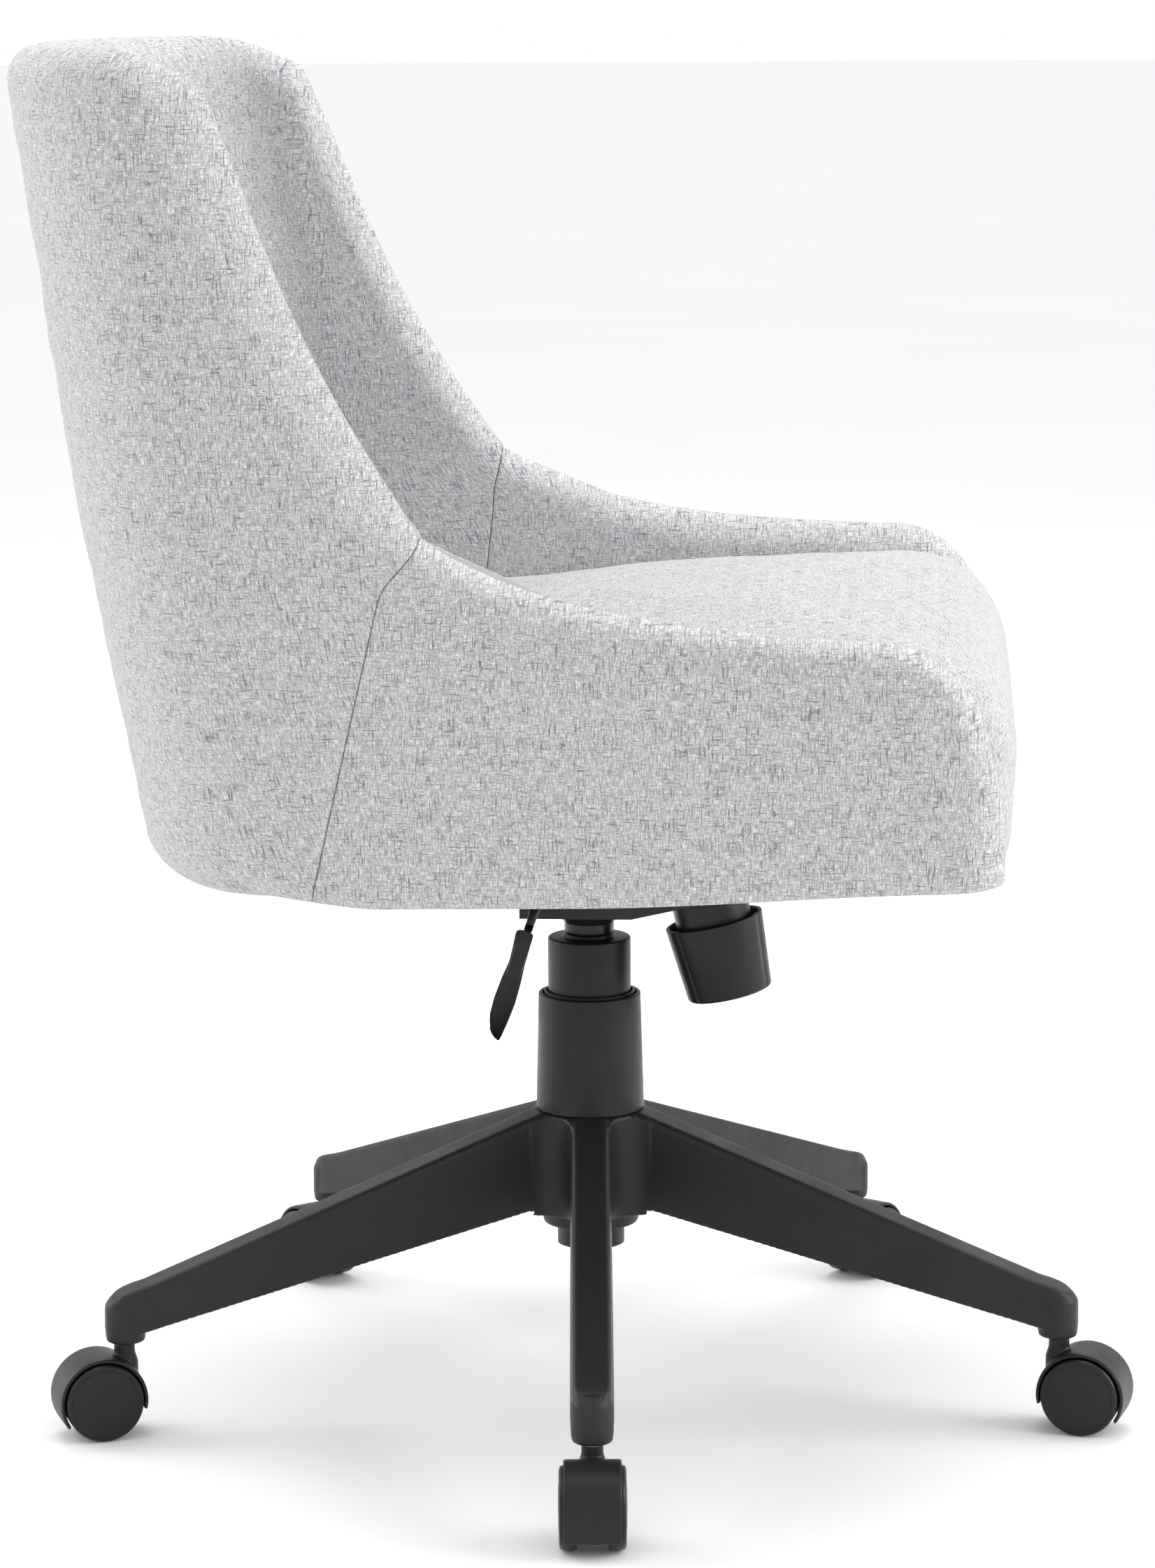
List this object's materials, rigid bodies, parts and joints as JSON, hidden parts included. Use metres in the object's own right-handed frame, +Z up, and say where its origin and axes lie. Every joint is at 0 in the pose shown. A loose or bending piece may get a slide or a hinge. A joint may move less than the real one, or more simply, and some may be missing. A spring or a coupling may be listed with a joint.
{
  "type": "swivel office chair",
  "caption": "Low-armed bucket desk chair in grey fabric on a gas lift with swivel-tilt mechanism and a five-star caster base.",
  "frame": {"origin": "on the floor under the lift column's axis", "axes": "+Z up; the sitter faces -Y; the height lever is on the -X side, the sitter's right"},
  "size_m": [0.6839, 0.7105, 0.881],
  "materials": {
    "nylon": "grained black nylon",
    "wheel_nylon": "satin black nylon",
    "black_steel": "black powder coat",
    "bright_steel": "plain steel",
    "rubber": "black rubber",
    "plywood": "bare plywood",
    "grey_fabric": "heathered light grey linen-look weave",
    "dust_cloth": "black non-woven cloth"
  },
  "bodies": {
    "base": {"star_base": "nylon", "column_tube": "black_steel", "guide_bush": "nylon", "thrust_bearing": "bright_steel", "cover_outer": "nylon"},
    "cover_mid": {"cover_middle": "nylon"},
    "swivel": {"piston_rod": "bright_steel", "retaining_clip": "bright_steel"},
    "lift": {"pressure_tube": "black_steel", "cover_inner": "nylon", "cone_socket": "black_steel", "housing": "black_steel", "spring_sleeve": "black_steel", "rubber_stops": "rubber", "tilt_shaft": "bright_steel", "yoke_pin": "bright_steel", "tension_spring": "bright_steel"},
    "seat": {"seat_plate": "black_steel", "tension_pin": "bright_steel", "plate_bolts": "bright_steel", "seat_board": "plywood", "back_board": "plywood", "arm_board_right": "plywood", "arm_board_left": "plywood", "frame_brackets": "bright_steel", "frame_screws": "bright_steel", "back_padding": "grey_fabric", "arm_padding_right": "grey_fabric", "arm_padding_left": "grey_fabric", "seat_cushion": "grey_fabric", "underside_cloth": "dust_cloth"},
    "button": {"release_button": "bright_steel"},
    "bolt": {"tension_bolt": "bright_steel"},
    "washer": {"thrust_washer": "bright_steel"},
    "knob": {"tension_knob": "nylon"},
    "yoke": {"lever_yoke": "black_steel"},
    "lever": {"lever_rod": "black_steel", "lever_paddle": "nylon"},
    "caster_1": {"caster_hood_1": "nylon", "caster_pins_1": "bright_steel"},
    "wheel_1a": {"wheel_1a": "wheel_nylon"},
    "wheel_1b": {"wheel_1b": "wheel_nylon"},
    "caster_2": {"caster_hood_2": "nylon", "caster_pins_2": "bright_steel"},
    "wheel_2a": {"wheel_2a": "wheel_nylon"},
    "wheel_2b": {"wheel_2b": "wheel_nylon"},
    "caster_3": {"caster_hood_3": "nylon", "caster_pins_3": "bright_steel"},
    "wheel_3a": {"wheel_3a": "wheel_nylon"},
    "wheel_3b": {"wheel_3b": "wheel_nylon"},
    "caster_4": {"caster_hood_4": "nylon", "caster_pins_4": "bright_steel"},
    "wheel_4a": {"wheel_4a": "wheel_nylon"},
    "wheel_4b": {"wheel_4b": "wheel_nylon"},
    "caster_5": {"caster_hood_5": "nylon", "caster_pins_5": "bright_steel"},
    "wheel_5a": {"wheel_5a": "wheel_nylon"},
    "wheel_5b": {"wheel_5b": "wheel_nylon"}
  },
  "joints": [
    {"name": "seat_swivel", "type": "hinge", "parent": "base", "child": "swivel", "pos_m": [0, 0, 0.11], "axis": [0, 0, 1], "continuous": true},
    {"name": "height_lift", "type": "slide", "parent": "swivel", "child": "lift", "axis": [0, 0, 1], "range_m": [-0.042, 0.035]},
    {"name": "cover_follow", "type": "slide", "parent": "base", "child": "cover_mid", "axis": [0, 0, 1], "range_m": [-0.0127, 0.0106]},
    {"name": "seat_tilt", "type": "hinge", "parent": "lift", "child": "seat", "pos_m": [0, -0.038, 0.352], "axis": [-1, 0, 0], "range_deg": [0, 12], "stiffness_Nm_per_rad": 110, "springref_deg": -18.33},
    {"name": "bolt_follow", "type": "slide", "parent": "lift", "child": "bolt", "axis": [0, 0.2164, 0.9763], "range_m": [0, 0.0072], "deforming": ["tension_spring"]},
    {"name": "thread_advance", "type": "slide", "parent": "bolt", "child": "washer", "axis": [0, 0.2164, 0.9763], "range_m": [-0.0036, 0.0036]},
    {"name": "knob_turn", "type": "hinge", "parent": "washer", "child": "knob", "pos_m": [0, -0.0865, 0.291], "axis": [0, 0.2164, 0.9763], "range_deg": [-720, 720]},
    {"name": "height_lever", "type": "hinge", "parent": "lift", "child": "yoke", "pos_m": [-0.033, 0.01, 0.3488], "axis": [0, 1, 0], "range_deg": [0, 3.5], "stiffness_Nm_per_rad": 4, "springref_deg": -6.88},
    {"name": "lever_pull", "type": "slide", "parent": "yoke", "child": "lever", "axis": [-1, 0, 0], "range_m": [0, 0.008]},
    {"name": "button_press", "type": "slide", "parent": "lift", "child": "button", "axis": [0, 0, -1], "range_m": [0, 0.0021]},
    {"name": "caster_1_swivel", "type": "hinge", "parent": "base", "child": "caster_1", "pos_m": [-0.31409, -0.02389, 0.06], "axis": [0, 0, 1], "continuous": true},
    {"name": "wheel_1a_spin", "type": "hinge", "parent": "caster_1", "child": "wheel_1a", "pos_m": [-0.33104, -0.02518, 0.025], "axis": [0.0758, -0.9971, 0], "continuous": true},
    {"name": "wheel_1b_spin", "type": "hinge", "parent": "caster_1", "child": "wheel_1b", "pos_m": [-0.33104, -0.02518, 0.025], "axis": [0.0758, -0.9971, 0], "continuous": true},
    {"name": "caster_2_swivel", "type": "hinge", "parent": "base", "child": "caster_2", "pos_m": [-0.07434, -0.3061, 0.06], "axis": [0, 0, 1], "continuous": true},
    {"name": "wheel_2a_spin", "type": "hinge", "parent": "caster_2", "child": "wheel_2a", "pos_m": [-0.07835, -0.32262, 0.025], "axis": [0.9718, -0.236, 0], "continuous": true},
    {"name": "wheel_2b_spin", "type": "hinge", "parent": "caster_2", "child": "wheel_2b", "pos_m": [-0.07835, -0.32262, 0.025], "axis": [0.9718, -0.236, 0], "continuous": true},
    {"name": "caster_3_swivel", "type": "hinge", "parent": "base", "child": "caster_3", "pos_m": [0.26815, -0.16529, 0.06], "axis": [0, 0, 1], "continuous": true},
    {"name": "wheel_3a_spin", "type": "hinge", "parent": "caster_3", "child": "wheel_3a", "pos_m": [0.28262, -0.17421, 0.025], "axis": [0.5247, 0.8513, 0], "continuous": true},
    {"name": "wheel_3b_spin", "type": "hinge", "parent": "caster_3", "child": "wheel_3b", "pos_m": [0.28262, -0.17421, 0.025], "axis": [0.5247, 0.8513, 0], "continuous": true},
    {"name": "caster_4_swivel", "type": "hinge", "parent": "base", "child": "caster_4", "pos_m": [0.24006, 0.20395, 0.06], "axis": [0, 0, 1], "continuous": true},
    {"name": "wheel_4a_spin", "type": "hinge", "parent": "caster_4", "child": "wheel_4a", "pos_m": [0.25302, 0.21496, 0.025], "axis": [-0.6475, 0.7621, 0], "continuous": true},
    {"name": "wheel_4b_spin", "type": "hinge", "parent": "caster_4", "child": "wheel_4b", "pos_m": [0.25302, 0.21496, 0.025], "axis": [-0.6475, 0.7621, 0], "continuous": true},
    {"name": "caster_5_swivel", "type": "hinge", "parent": "base", "child": "caster_5", "pos_m": [-0.11978, 0.29134, 0.06], "axis": [0, 0, 1], "continuous": true},
    {"name": "wheel_5a_spin", "type": "hinge", "parent": "caster_5", "child": "wheel_5a", "pos_m": [-0.12625, 0.30706, 0.025], "axis": [-0.9249, -0.3803, 0], "continuous": true},
    {"name": "wheel_5b_spin", "type": "hinge", "parent": "caster_5", "child": "wheel_5b", "pos_m": [-0.12625, 0.30706, 0.025], "axis": [-0.9249, -0.3803, 0], "continuous": true}
  ],
  "couplings": [
    {"joint": "cover_follow", "follows": "height_lift", "ratio": 0.3},
    {"joint": "bolt_follow", "follows": "seat_tilt", "m_per_rad": 0.0341},
    {"joint": "thread_advance", "follows": "knob_turn", "m_per_rad": 0.000278},
    {"joint": "button_press", "follows": "height_lever", "m_per_rad": 0.033}
  ]
}
